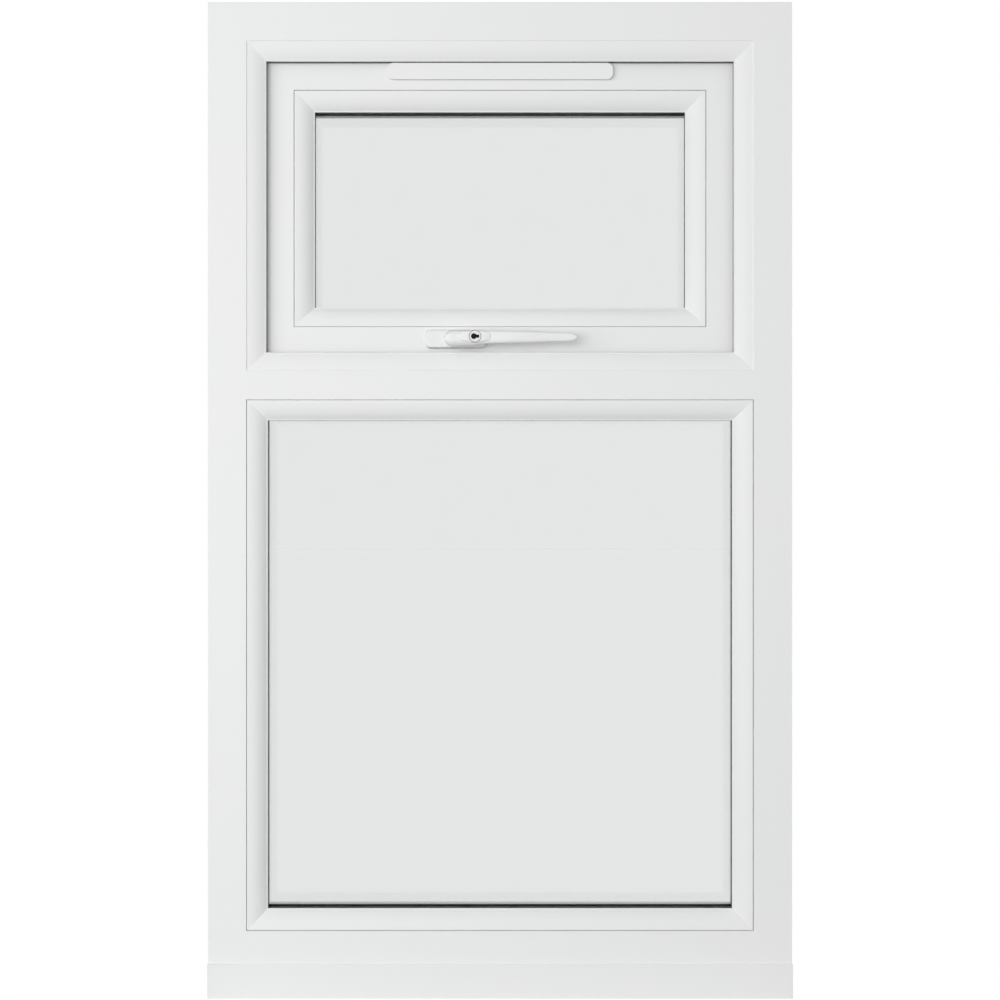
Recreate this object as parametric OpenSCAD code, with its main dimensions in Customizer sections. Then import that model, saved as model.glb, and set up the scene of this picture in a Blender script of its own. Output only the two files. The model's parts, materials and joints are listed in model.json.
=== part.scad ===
// Top-hung window over a fixed light, white extruded plastic, with its frame and sill.
// +X is right seen from the room, +Y points outside, +Z is up.
// The origin is on the underside of the sill, at mid-width and at the frame's mid-depth.
// Depths named _d are measured from the room face of the outer frame towards the outside.

/* [Frame] */
// Width of the outer frame
frame_w = 610; // [560:5:800]
// Height from the underside of the sill to the top of the head
total_h = 1040; // [1000:5:1300]
// Depth of the outer frame from room face to outside face
frame_depth = 70; // [68:1:76]
// Flat face of the head, the jambs and the bottom rail
face_w = 40; // [36:1:46]
// Flat face of the transom
transom_face = 30; // [28:1:40]
// Outer walls of the extruded sections
wall = 2.8; // [2.4:0.1:3]
// Inner webs of the extruded sections
web = 1.5; // [1.2:0.1:1.8]
// Wall of the steel reinforcement
steel_wall = 1.5; // [1.2:0.1:2]
// Radius of the fixing holes through the jambs
fixing_r = 4; // [3:0.5:5]
// Height of the lower fixing hole in each jamb
fixing_low_z = 180; // [150:5:240]
// Distance between the two fixing holes in each jamb
fixing_spacing = 540; // [500:5:550]

/* [Sill] */
// Height of the sill under the frame
sill_h = 30; // [26:1:40]
// Reach of the sill in front of the frame's outside face
sill_reach = 77.5; // [50:0.5:120]
// Height of the sill's nose
sill_nose_h = 17; // [13:1:20]
// Thickness of the room-side lip
sill_lip_t = 2.5; // [2:0.1:3]
// Height of the room-side lip above the frame's foot
sill_lip_h = 6; // [4:0.5:10]
// Thickness of the end caps
cap_t = 2.5; // [2:0.1:4]
// How far the end caps stand past the jambs
cap_over = 0.5; // [0:0.1:2]

/* [Opening] */
// Height of the opening that the sash closes
opening_h = 345; // [340:5:420]
// Width of the moulded leg that the sash closes against
leg_w = 19.8; // [18:0.1:24]
// Depth of the leg's lip behind the room face
leg_lip_d = 7; // [5:0.1:8]
// Depth of the leg's back, where the weather seal sits
leg_back_d = 14; // [13:0.1:15]

/* [Glazing] */
// Width of the glazing beads
bead_w = 21.4; // [20:0.1:24]
// Depth of a bead's lip behind the face that it sits in
bead_lip_d = 9; // [7:0.1:10]
// Depth of a bead's back behind that face
bead_back_d = 17; // [16:0.1:18]
// Thickness of the gaskets on both sides of the glass
gasket_t = 3; // [2:0.1:4]
// Thickness of each pane
pane_t = 4; // [3:0.5:6]
// Space between the panes
pane_gap = 20; // [16:1:20]
// Gap between the glass edge and the rebate floor
glass_clear = 5; // [4:0.5:6]
// Height of the outside upstand behind the glass
upstand_h = 16.2; // [15:0.1:20]

/* [Sash] */
// How far the sash's room face is set back from the frame's
sash_back = 17; // [16.5:0.1:19]
// Depth of the sash from room face to outside face
sash_depth = 70; // [68:1:76]
// Hardware space between the sash and the frame all round
sash_space = 13; // [12.8:0.1:15]
// Flat face of the sash from its edge to the bead
sash_face = 34.4; // [33:0.1:38]
// Lap of the outside flange over the frame
flange_lap = 8; // [7:0.5:10]
// Gap under the outside flange, which its seal fills
flange_gap = 3.5; // [3:0.1:4.5]

/* [Handle] */
// Place of the handle's spindle to the side of the middle
handle_x = -46.8; // [-80:0.1:0]
// Height of the spindle above the sash's lower edge
backset = 21.3; // [20:0.1:22]
// Length of the handle's base
base_l = 65; // [60:0.5:72]
// Height of the handle's base
base_w = 19; // [18:0.5:20]
// Thickness of the handle's base
base_t = 9; // [8:0.5:10]
// Reach of the lever from the spindle to its tip
lever_reach = 126.6; // [110:0.1:140]
// Distance between the two handle screws
handle_screw_gap = 43; // [40:1:46]
// Distance of the key cylinder from the spindle
key_off = 21; // [20:0.5:24]
// Radius of the key cylinder
key_r = 5.9; // [5:0.1:6]

/* [Lock] */
// Pitch radius of the lock's pinion
pinion_r = 11; // [10.6:0.1:11]
// Teeth on the pinion's full circle
pinion_teeth = 14; // [13:1:15]
// Length of the lock's face plate
plate_l = 420; // [400:5:430]
// Distance between the two locking cams
cam_gap = 260; // [230:5:280]

/* [Vent] */
// Length of the trickle vent's cover
vent_l = 238; // [220:1:260]
// Height of the cover
vent_h = 17.3; // [15:0.1:18]
// Length of the air slot through the sash
slot_l = 200; // [160:1:204]
// Height of the air slot
slot_h = 7; // [6:0.1:8]

/* [Stay] */
// Radius of the stay's pivot pins
pin_r = 2.5; // [2:0.1:2.8]
// Running clearance around the pivot pins
pin_clear = 0.05; // [0.03:0.01:0.1]
// Clearance around the one pivot that is left open
open_clear = 1.75; // [1.7:0.05:2]
// Height of the sash pivot above the frame pivot of the short arm
short_rise = 34; // [33.8:0.1:34.2]
// Drop from the frame pivot of the short arm to the open pivot
open_drop = 15; // [14.8:0.1:15.2]
// Drop from the frame pivot of the short arm to that of the long arm
long_drop = 165; // [164.8:0.1:165.2]

/* [Hidden] */
$fn = 48;
white = [0.93, 0.94, 0.94];
black = [0.05, 0.05, 0.055];
steel = [0.66, 0.67, 0.69];
glass = [0.82, 0.88, 0.88, 0.35];
room_y = -frame_depth / 2;
fit = 0.3;
cut = 1;
// Overlap where two shapes of one piece are joined
bite = 0.5;

// Rectangles are [left, right, bottom, top] in the plane of the window
outer = [-frame_w / 2, frame_w / 2, sill_h, total_h];
upper = [outer[0] + face_w, outer[1] - face_w, total_h - face_w - opening_h, total_h - face_w];
lower = [upper[0], upper[1], sill_h + face_w, upper[2] - transom_face];
sash = inset(upper, sash_space);
sash_light = inset(sash, sash_face);

// Curved mouldings: a bead starts behind a hairline slit, the leg with a bevel
moulding_fn = 240;
slit_w = 0.6;
slit_d = 2;
leg_bevel = 0.9;
leg_step = 0.15;
edge_r = 0.9;
moulding_d = 0.3;
land_w = 1.3;
start_slope = 3;
lip_bevel = 0.6;
step_d = 0.8;

// Chambers of the frame
chamber_room_d = 14;
chamber_back_d = 48;
leg_root = 1;
leg_nose_t = 3.5;
leg_nose_d = leg_lip_d + leg_nose_t;

// Sill
sill_step = 2;
drip = 4;

// Glazing depths, from the face that the bead sits in
pane_in_d = bead_back_d + gasket_t;
gap_d = pane_in_d + pane_t;
pane_out_d = gap_d + pane_gap;
unit_d = pane_out_d + pane_t;
upstand_d = unit_d + gasket_t;
foot_d = [6, 9];
foot_h = 1.4;
foot_clear = 0.1;
nose_t = 1.6;
nose_in = 3;
spacer_in = 2.5;
spacer_h = 6.5;
gasket_lip = 0.3;
gasket_h = 8;
packer_l = 60;

// Sash section
sash_out_d = sash_back + sash_depth;
flange_d = frame_depth + flange_gap;
flange_w = sash_space + flange_lap;
groove_d = [28.8, 45.2];
groove_h = 6;
groove_mid_d = (groove_d[0] + groove_d[1]) / 2;
groove_wall = 2.2;
seal_w = 5;
stem_w = 2.6;
stem_h = 1.9;
seal_root = 1;
seal_lip = 0.3;
flange_seal_in = 2.5;

// Handle, lock and key
spindle_z = sash[2] + backset;
spindle_w = 7;
base_d = sash_back - base_t;
base_corner = 6.5;
base_edge = 2.4;
cover_t = 1.3;
neck_r = 6.5;
neck_l = 6;
neck_root = 2;
run_gap = 0.2;
lever_stations = 28;
lever_sides = 28;
oval_power = 0.7;
end_floor = 0.01;
hub_end = 11.7;
hub_half = 8.3;
hub_round = 10;
hub_fall = 6;
hub_drop = 0.8;
hub_front_d = -14;
waist_l = 24;
crest_l = 60;
blade_half = 6.6;
blade_drop = 0.4;
blade_front_d = -18;
blade_back_d = -7;
back_from = 16;
taper_from = 0.4;
tip_half = 4.2;
tip_round = 9;
tip_fall = 4;
tip_lift = 3;
pad_half_l = 16.3;
pad_half_h = 6.5;
pad_end_r = 4.6;
pad_d = -16.4;
pad_root_d = -8;
key_front_d = -17;
key_l = 10;
key_ring_w = 0.45;
key_ring_d = 2.5;
spindle_front_d = -6;
handle_screw_r = 2.5;
screw_head_r = 4.4;
screw_head_h = 2.5;
screw_seat = 4;
drive_slot = 1;
pinion_t = 7.4;
pinion_clear = 0.3;
journal_r = 7;
box_wall = 2;
box_t = pinion_t + 2 * pinion_clear + 2 * box_wall;
box_d = [groove_mid_d - box_t / 2, groove_mid_d + box_t / 2];
box_l = 55;
box_top = sash[2] + sash_face - wall - 2 * fit;
box_low = sash[2] + groove_h + groove_wall + fit;
tooth_pitch = 2 * PI * pinion_r / pinion_teeth;
addendum = 1.2;
dedendum = 1.5;
pressure = 20;
backlash = 0.5;
hub_r = 8.3;
pinion_ahead = 1;
pinion_behind = ceil(pinion_teeth / 4) + 1;
plate_w = 16;
plate_t = 2.5;
bar_w = 12;
bar_t = 2.9;
bar_low = sash[2] + plate_t + fit;
bar_end = 18;
bar_half_l = cam_gap / 2 + bar_end;
bar_travel = pinion_r * PI / 2;
rack_ahead = 11;
rack_behind = rack_ahead + bar_travel + 2;
cam_r = 4;
cam_head_r = 5.5;
cam_head_h = 3;
cam_low = sash[2] - 8;
plate_end = 10;

// Keeps
keep_l = 62;
keep_w = 18;
keep_t = 2;
keep_kerb_t = 2.5;
keep_gap = 0.6;
keep_kerb_end = bar_travel - cam_head_r - cut;
keep_end = 8;

// Screws that hold the hardware
screw_r = 2;
screw_l = 13;
head_r = 3.6;
head_h = 1.4;

// Vent
vent_front_d = 12;
vent_gap = 0.4;
vent_top = upper[3] - leg_w - vent_gap;
vent_low = vent_top - vent_h;
vent_r = 6.5;
flap_t = 2.6;
vent_plate_t = sash_back - vent_front_d - flap_t - fit;
slot_mid_z = vent_low + vent_h / 2 + fit;
hinge_r = 1;
hinge_half = vent_l / 2 - 12;
hinge_rise = 2.2;
hinge_bite = 0.2;
vent_pivot_d = vent_front_d + flap_t + hinge_r - hinge_bite;
vent_pivot_z = vent_low + hinge_rise;
hood_out = 13;
hood_h = 22;
hood_front_h = 10;
hood_top_d = 4;
hood_drop = 2;
hood_wall = 1.8;

// Stays: pivots as [depth, height]
short_lean = -4;
open_lean = -10;
long_lean = -8;
sash_pivot_in = 17;
bar_mid_d = groove_mid_d;
pivot_n = [bar_mid_d + 3, sash[3] - sash_pivot_in];
pivot_f1 = [pivot_n[0] - short_lean, pivot_n[1] - short_rise];
pivot_q = [pivot_f1[0] + open_lean, pivot_f1[1] - open_drop];
pivot_f2 = [pivot_f1[0] + long_lean, pivot_f1[1] - long_drop];
track_t = 2;
track_w = 22;
track_mid_d = (pivot_f1[0] + pivot_f2[0]) / 2;
track_end = 12;
arm_t = 3;
arm_gap = 0.2;
arm_w = 11;
boss_r = 5;
rivet_r = 4;
rivet_h = 1;
open_rivet_r = 6;
eye_r = 6.5;
open_eye_r = pin_r + open_clear + 3;
sash_bar_w = 19;
sash_bar_t = 2;
sash_bar_l = 160;
sash_bar_over = 9;
arm_u = [track_t + 2.4, track_t + 2.4 + arm_t];
track_screws = [-35, -80, -130];
sash_bar_screws = [-25, -85, -140];

// Helpers

function inset(r, by) = [r[0] + by, r[1] - by, r[2] + by, r[3] - by];

// Direction from a to b in [inward, depth]
function lean(a, b) = atan2(b[1] - a[1], b[0] - a[0]);
// Circle through a and b that leaves a at the given slope: [centre, radius]
function arc_circle(a, b, slope) =
    let (radius = norm(b - a) / (2 * sin(lean(a, b) - slope)))
    [a + radius * [-sin(slope), cos(slope)], radius];
// Depth of that arc at a distance inward
function arc_depth(a, b, slope, inward) =
    let (c = arc_circle(a, b, slope))
    c[0][1] - sqrt(c[1] * c[1] - pow(inward - c[0][0], 2));

// Area between that arc and its chord, reaching a little behind the chord
module bulge(a, b, slope) {
    c = arc_circle(a, b, slope);
    chord = norm(b - a);
    intersection() {
        translate(c[0])
            circle(r = c[1], $fn = moulding_fn);
        translate(a)
            rotate(lean(a, b))
                polygon([[0, 0], [0, -chord], [chord, -chord], [chord, 0],
                         [chord * 3 / 4, bite], [chord / 4, bite]]);
    }
}

// Box between two corners given as [x, depth, z]
module box(a, b) {
    translate([a[0], a[1] + room_y, a[2]])
        cube(b - a);
}

// Round bar along the depth
module rod_d(x, z, d, r) {
    translate([x, d[0] + room_y, z])
        rotate([-90, 0, 0])
            cylinder(h = d[1] - d[0], r = r);
}

// Round bar across the window
module rod_x(x, d, z, r) {
    translate([x[0], d + room_y, z])
        rotate([0, 90, 0])
            cylinder(h = x[1] - x[0], r = r);
}

// Round bar upwards
module rod_z(x, d, z, r) {
    translate([x, d + room_y, z[0]])
        cylinder(h = z[1] - z[0], r = r);
}

// Section drawn as [inward, depth], run along one side of a rectangle
module run(r, side) {
    if (side == "left")
        translate([r[0], room_y, r[2]])
            linear_extrude(r[3] - r[2])
                children();
    if (side == "right")
        translate([r[1], room_y, r[2]])
            mirror([1, 0, 0])
                linear_extrude(r[3] - r[2])
                    children();
    if (side == "bottom")
        translate([r[1], room_y, r[2]])
            rotate([0, -90, 0])
                linear_extrude(r[1] - r[0])
                    children();
    if (side == "top")
        translate([r[0], room_y, r[3]])
            rotate([0, 90, 0])
                linear_extrude(r[1] - r[0])
                    children();
}

// Prism that cuts one side of a rectangle to its 45 degree mitres
module mitre(r, side, reach) {
    o = inset(r, -flange_w);
    i = inset(r, reach);
    corners = [[o[0], o[2]], [o[1], o[2]], [o[1], o[3]], [o[0], o[3]],
               [i[0], i[2]], [i[1], i[2]], [i[1], i[3]], [i[0], i[3]]];
    order = side == "bottom" ? [0, 1, 5, 4]
          : side == "right" ? [1, 2, 6, 5]
          : side == "top" ? [2, 3, 7, 6]
          : [3, 0, 4, 7];
    translate([0, room_y + sash_out_d + cut, 0])
        rotate([90, 0, 0])
            linear_extrude(sash_out_d + 2 * cut)
                polygon([for (k = order) corners[k]]);
}

// One mitred side: the section runs past the corners by over, then is cut
module mitred(r, side, reach, over = 0) {
    intersection() {
        run(over == 0 ? r : lengthened(r, side, over), side)
            children();
        mitre(r, side, reach);
    }
}

function lengthened(r, side, by) =
    side == "left" || side == "right" ? [r[0], r[1], r[2] - by, r[3] + by]
                                      : [r[0] - by, r[1] + by, r[2], r[3]];

// Rectangular ring between two insets of a rectangle and two depths
module ring(r, from, to, d) {
    o = inset(r, from);
    i = inset(r, to);
    difference() {
        box([o[0], d[0], o[2]], [o[1], d[1], o[3]]);
        box([i[0], d[0] - cut, i[2]], [i[1], d[1] + cut, i[3]]);
    }
}

module on_side(side) {
    if (side == "left")
        children();
    else
        mirror([1, 0, 0])
            children();
}

// Sections of the outer frame

module chamber(a, b) {
    translate(a)
        square(b - a);
}

module frame_section(w) {
    difference() {
        square([w, frame_depth]);
        chamber([wall, wall], [w - wall, chamber_room_d]);
        chamber([wall, chamber_room_d + web], [w - wall, chamber_back_d]);
        chamber([wall, chamber_back_d + web], [w - wall, frame_depth - wall]);
    }
}

// Moulded leg on the room side, with the rebate and the groove for the weather seal under its nose
module leg_section() {
    start = [leg_bevel, leg_bevel];
    land = [leg_w - land_w, leg_lip_d];
    chamber_w = leg_w - seal_w - wall;
    floor_d = leg_back_d - wall;
    difference() {
        union() {
            polygon([
                [-leg_root, leg_back_d], [-leg_root, leg_bevel], [0, leg_step], start, land,
                [leg_w - lip_bevel, leg_lip_d], [leg_w, leg_lip_d + lip_bevel],
                [leg_w, leg_nose_d], [leg_w - seal_w, leg_nose_d], [leg_w - seal_w, leg_back_d]
            ]);
            bulge(start, land, start_slope);
        }
        polygon([
            [wall, arc_depth(start, land, start_slope, wall) + wall],
            [chamber_w, arc_depth(start, land, start_slope, chamber_w) + wall],
            [chamber_w, floor_d], [wall, floor_d]
        ]);
        translate([leg_w - seal_w / 2 - stem_w / 2, leg_nose_d - stem_h])
            square([stem_w, stem_h + cut]);
    }
}

// Upstand on the outside, behind the glass
module upstand_section(face_d, glass_d) {
    difference() {
        upstand_outline(face_d, glass_d);
        upstand_chamber(face_d, glass_d, upstand_lip_d(face_d, glass_d));
    }
}

function upstand_lip_d(face_d, glass_d) = (face_d + glass_d) / 2;

module upstand_outline(face_d, glass_d) {
    lip_d = upstand_lip_d(face_d, glass_d);
    foot = [0, face_d - step_d];
    land = [upstand_h - land_w, lip_d];
    polygon([
        [-leg_root, foot[1]], [-leg_root, glass_d], [upstand_h, glass_d], [upstand_h, lip_d],
        land, foot
    ]);
    bulge(land, foot, 2 * lean(land, foot) - 180 + start_slope);
}

module upstand_chamber(face_d, glass_d, lip_d) {
    polygon([
        [wall / 2, glass_d + wall],
        [upstand_h - wall, glass_d + wall],
        [upstand_h - wall, lip_d - wall / 2],
        [upstand_h / 2, lip_d + (face_d - lip_d) / 2 - wall / 2],
        [wall / 2, face_d - step_d - wall]
    ]);
}

// Groove in the rebate floor that the beads clip into
module bead_groove_section() {
    translate([-foot_h - foot_clear, foot_d[0]])
        square([foot_h + foot_clear + cut, foot_d[1] - foot_d[0]]);
}

// Moulded glazing bead, drawn from the rebate floor and from its face; its gasket sits under the nose
module bead_section() {
    start = [slit_w + edge_r, moulding_d];
    land = [bead_w - land_w, bead_lip_d];
    heel_d = foot_d[1] + wall;
    heel_w = bead_w * 0.62;
    chamber_w = bead_w - nose_in - wall;
    difference() {
        union() {
            polygon([
                [0, heel_d], [0, foot_d[1] - foot_clear], [-foot_h, foot_d[1] - foot_clear],
                [-foot_h, foot_d[0] + foot_clear], [0, foot_d[0] + foot_clear], [0, wall],
                [slit_w, slit_d], [slit_w, moulding_d + edge_r], start, land,
                [bead_w - lip_bevel, bead_lip_d], [bead_w, bead_lip_d + lip_bevel],
                [bead_w, bead_lip_d + nose_t], [bead_w - nose_in, bead_lip_d + nose_t],
                [bead_w - nose_in, bead_back_d], [heel_w, bead_back_d]
            ]);
            bulge(start, land, start_slope);
            translate([slit_w + edge_r, moulding_d + edge_r])
                circle(r = edge_r);
        }
        polygon([
            [wall, arc_depth(start, land, start_slope, wall) + wall],
            [chamber_w, arc_depth(start, land, start_slope, chamber_w) + wall],
            [chamber_w, bead_back_d - wall], [heel_w, bead_back_d - wall], [wall, heel_d - wall * 0.8]
        ]);
    }
}

// Sash section with the hardware groove, the outside flange and the upstand
module sash_section() {
    glass_d = sash_back + upstand_d;
    bevel = 2;
    floor_w = sash_face - wall;
    foot_w = sash_face - foot_h - foot_clear;
    mid_web_d = groove_d[1] + wall + 8;
    difference() {
        union() {
            polygon([
                [0, sash_back], [sash_face, sash_back],
                [sash_face, sash_back + foot_d[0]], [foot_w, sash_back + foot_d[0]],
                [foot_w, sash_back + foot_d[1]], [sash_face, sash_back + foot_d[1]],
                [sash_face, sash_out_d], [-flange_w + bevel, sash_out_d], [-flange_w, sash_out_d - bevel],
                [-flange_w, flange_d], [0, flange_d],
                [0, groove_d[1]], [groove_h, groove_d[1]], [groove_h, groove_d[0]], [0, groove_d[0]]
            ]);
            translate([sash_face, 0])
                upstand_outline(sash_out_d, glass_d);
        }
        chamber([wall, sash_back + wall], [floor_w, groove_d[0] - web]);
        chamber([groove_h + groove_wall, groove_d[0]], [floor_w, mid_web_d]);
        chamber([wall, mid_web_d + web], [floor_w, flange_d + wall - web]);
        chamber([-flange_w + wall, flange_d + wall], [floor_w, sash_out_d - wall]);
        translate([sash_face, 0])
            upstand_chamber(sash_out_d, glass_d, upstand_lip_d(sash_out_d, glass_d));
        translate([-flange_w + flange_seal_in + seal_w / 2 - stem_w / 2, flange_d - cut])
            square([stem_w, stem_h + cut]);
    }
}

// Outer frame

module fixing_holes(side) {
    on_side(side)
        for (z = [fixing_low_z, fixing_low_z + fixing_spacing])
            rod_x([outer[0] - cut, upper[0] + cut], frame_depth / 2, z, fixing_r);
}

module frame_jamb(side) {
    color(white)
        difference() {
            union() {
                mitred(outer, side, face_w)
                    frame_section(face_w);
                mitred(upper, side, leg_w + cut)
                    leg_section();
                mitred(lower, side, upstand_h + cut)
                    upstand_section(frame_depth, upstand_d);
            }
            mitred(lower, side, upstand_h)
                bead_groove_section();
            fixing_holes(side);
            on_side(side)
                track_screw_holes();
        }
}

module frame_head() {
    color(white) {
        mitred(outer, "top", face_w)
            frame_section(face_w);
        mitred(upper, "top", leg_w + cut)
            leg_section();
    }
}

module frame_bottom_rail() {
    color(white)
        difference() {
            union() {
                mitred(outer, "bottom", face_w)
                    frame_section(face_w);
                mitred(lower, "bottom", upstand_h + cut)
                    upstand_section(frame_depth, upstand_d);
            }
            mitred(lower, "bottom", upstand_h)
                bead_groove_section();
        }
}

module transom() {
    color(white)
        difference() {
            union() {
                run([lower[0], lower[1], lower[3], upper[2]], "bottom")
                    frame_section(transom_face);
                mitred(upper, "bottom", leg_w + cut)
                    leg_section();
                mitred(lower, "top", upstand_h + cut)
                    upstand_section(frame_depth, upstand_d);
            }
            mitred(lower, "top", upstand_h)
                bead_groove_section();
            keep_screw_holes();
        }
}

// Square steel tube in the main chamber of a section of the given width
module steel_section(w) {
    a = wall + fit;
    d0 = chamber_room_d + web + fit;
    d1 = chamber_back_d - fit;
    difference() {
        translate([a, d0])
            square([w - 2 * a, d1 - d0]);
        translate([a + steel_wall, d0 + steel_wall])
            square([w - 2 * a - 2 * steel_wall, d1 - d0 - 2 * steel_wall]);
    }
}

module frame_steels() {
    end = 5;
    color(steel)
        difference() {
            union() {
                for (side = ["left", "right"])
                    run([outer[0], outer[1], lower[2] + end, upper[3] - end], side)
                        steel_section(face_w);
                run([lower[0] + end, lower[1] - end, lower[3], upper[2]], "bottom")
                    steel_section(transom_face);
            }
            for (side = ["left", "right"]) {
                fixing_holes(side);
                on_side(side)
                    track_screw_holes();
            }
            keep_screw_holes();
        }
}

// Sill

module sill_outline() {
    out_d = frame_depth + sill_reach;
    nose_r = 4;
    bevel = 1;
    lip_z = sill_h + sill_lip_h;
    polygon([
        [-sill_lip_t, 0], [-sill_lip_t, lip_z - bevel], [-sill_lip_t + bevel, lip_z],
        [0, lip_z], [0, sill_h], [frame_depth, sill_h], [frame_depth + sill_step, sill_h - sill_step],
        [out_d - nose_r, sill_nose_h], [out_d - nose_r / 3, sill_nose_h - nose_r / 3],
        [out_d, sill_nose_h - nose_r], [out_d, bevel], [out_d - bevel, 0],
        [out_d - 2 * drip, 0], [out_d - 2 * drip, drip], [out_d - 3 * drip, drip], [out_d - 3 * drip, 0]
    ]);
}

// Chambers of the sill, split by two webs under the frame
module sill_section() {
    mid = frame_depth / 2;
    start_d = frame_depth + sill_step;
    end_d = frame_depth + sill_reach - 4 * drip - wall;
    top = sill_h - sill_step - wall;
    fall = (sill_h - sill_step - sill_nose_h) / (sill_reach - sill_step - drip);
    difference() {
        sill_outline();
        chamber([0, wall], [mid - web / 2, sill_h - wall]);
        chamber([mid + web / 2, wall], [frame_depth - web, sill_h - wall]);
        polygon([[start_d, wall], [end_d, wall], [end_d, top - fall * (end_d - start_d)], [start_d, top]]);
    }
}

// Runs the sill's outline, drawn as [depth, height], along X
module along_x(x) {
    translate([x[0], room_y, 0])
        rotate([90, 0, 90])
            linear_extrude(x[1] - x[0])
                children();
}

module sill() {
    half = outer[1] + cap_over - cap_t;
    color(white)
        along_x([-half, half])
            sill_section();
}

module sill_end_caps() {
    half = outer[1] + cap_over;
    color(white)
        for (x = [-half, half - cap_t])
            along_x([x, x + cap_t])
                sill_outline();
}

// Glazing: r is the rebate rectangle and d the depth of the face that the bead sits in

module bead(r, side, d) {
    color(white)
        mitred(r, side, bead_w + cut)
            translate([0, d])
                bead_section();
}

module pane(r, d) {
    g = inset(r, glass_clear);
    color(glass)
        box([g[0], d, g[2]], [g[1], d + pane_t, g[3]]);
}

module spacer_bar(r, d) {
    from = glass_clear + spacer_in;
    color(steel)
        ring(r, from, from + spacer_h, [d + gap_d, d + pane_out_d]);
}

// Gasket behind the bead, with a leg that fills the rebate under the bead's nose
module bead_gasket(r, d) {
    nose = bead_w - nose_in;
    color(black) {
        ring(r, nose, bead_w - gasket_lip, [d + bead_lip_d + nose_t, d + pane_in_d]);
        ring(r, bead_w - gasket_h, nose + bite, [d + bead_back_d, d + pane_in_d]);
    }
}

module outer_gasket(r, d) {
    lip = upstand_h - gasket_lip;
    color(black)
        ring(r, lip - gasket_h, lip, [d + unit_d, d + upstand_d]);
}

module packers(r, d) {
    color(black) {
        for (x = [r[0] + (r[1] - r[0]) / 4, r[1] - (r[1] - r[0]) / 4])
            box([x - packer_l / 2, d + pane_in_d, r[2]],
                [x + packer_l / 2, d + unit_d, r[2] + glass_clear]);
        for (x = [r[0], r[1] - glass_clear])
            box([x, d + pane_in_d, r[3] - 2 * packer_l], [x + glass_clear, d + unit_d, r[3] - packer_l]);
    }
}

// Weather seals: a soft strip with a stem in its groove

module frame_weather_seal() {
    stem_in = leg_w - seal_w / 2 - stem_w / 2;
    color(black) {
        ring(upper, leg_w - seal_w, leg_w - seal_lip, [leg_nose_d, sash_back - fit]);
        ring(upper, stem_in, stem_in + stem_w, [leg_nose_d - stem_h, leg_nose_d + seal_root]);
    }
}

module sash_weather_seal() {
    from = -flange_w + flange_seal_in;
    stem_in = from + seal_w / 2 - stem_w / 2;
    color(black) {
        ring(sash, from, from + seal_w, [frame_depth + fit, flange_d]);
        ring(sash, stem_in, stem_in + stem_w, [flange_d - seal_root, flange_d + stem_h]);
    }
}

// Sash

module sash_side(side) {
    mitred(sash, side, sash_face + upstand_h + cut, flange_w)
        sash_section();
}

module sash_stile(side) {
    color(white)
        difference() {
            sash_side(side);
            on_side(side)
                sash_bar_screw_holes();
        }
}

module sash_top_rail() {
    color(white)
        difference() {
            sash_side("top");
            box([-slot_l / 2, sash_back - cut, slot_mid_z - slot_h / 2],
                [slot_l / 2, sash_out_d + cut, slot_mid_z + slot_h / 2]);
        }
}

module sash_bottom_rail() {
    spindle_hole_r = spindle_w;
    mouth = 0.5;
    color(white)
        difference() {
            sash_side("bottom");
            rod_d(handle_x, spindle_z, [sash_back - cut, box_d[0]], spindle_hole_r);
            for (x = [-1, 1])
                rod_d(handle_x + x * handle_screw_gap / 2, spindle_z,
                      [sash_back - cut, box_d[0]], handle_screw_r + pin_clear);
            box([handle_x - rack_behind - mouth, box_d[0], sash[2] + groove_h - cut],
                [handle_x + rack_behind + mouth, box_d[1], sash[2] + groove_h + groove_wall + cut]);
            plate_screw_holes();
        }
}

// Lock

module lock_face_plate() {
    color(steel)
        difference() {
            box([-plate_l / 2, groove_mid_d - plate_w / 2, sash[2]],
                [plate_l / 2, groove_mid_d + plate_w / 2, sash[2] + plate_t]);
            for (x = [-cam_gap / 2, cam_gap / 2])
                cam_slot(x);
            plate_screw_holes();
        }
}

module cam_slot(x) {
    r = cam_r + fit;
    z = [sash[2] - cut, sash[2] + plate_t + cut];
    rod_z(x, groove_mid_d, z, r);
    rod_z(x + bar_travel, groove_mid_d, z, r);
    box([x, groove_mid_d - r, z[0]], [x + bar_travel, groove_mid_d + r, z[1]]);
}

module lock_gearbox() {
    inner_d = [box_d[0] + box_wall, box_d[1] - box_wall];
    cavity_r = pinion_r + addendum + pinion_clear;
    rack_top = spindle_z - pinion_r + dedendum + pinion_clear;
    color(steel)
        difference() {
            box([handle_x - box_l / 2, box_d[0], box_low], [handle_x + box_l / 2, box_d[1], box_top]);
            intersection() {
                rod_d(handle_x, spindle_z, inner_d, cavity_r);
                box([handle_x - box_l, inner_d[0] - cut, box_low - cut],
                    [handle_x + box_l, inner_d[1] + cut, box_top - box_wall / 2]);
            }
            box([handle_x - box_l, inner_d[0], box_low - cut], [handle_x + box_l, inner_d[1], rack_top]);
            rod_d(handle_x, spindle_z, [box_d[0] - cut, box_d[1] + cut], journal_r + pin_clear);
            for (x = [-1, 1])
                rod_d(handle_x + x * handle_screw_gap / 2, spindle_z,
                      [box_d[0] - cut, box_d[1] + cut], handle_screw_r + pin_clear);
        }
}

// Half thickness in degrees of an involute pinion tooth at radius r
function involute(a) = tan(a) * 180 / PI - a;
function tooth_half(r) =
    let (
        base = pinion_r * cos(pressure),
        at = acos(min(1, base / max(r, base))),
        half = 90 / pinion_teeth - backlash / 2 / pinion_r * 180 / PI / 2
    )
    half + involute(pressure) - involute(at);

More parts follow.
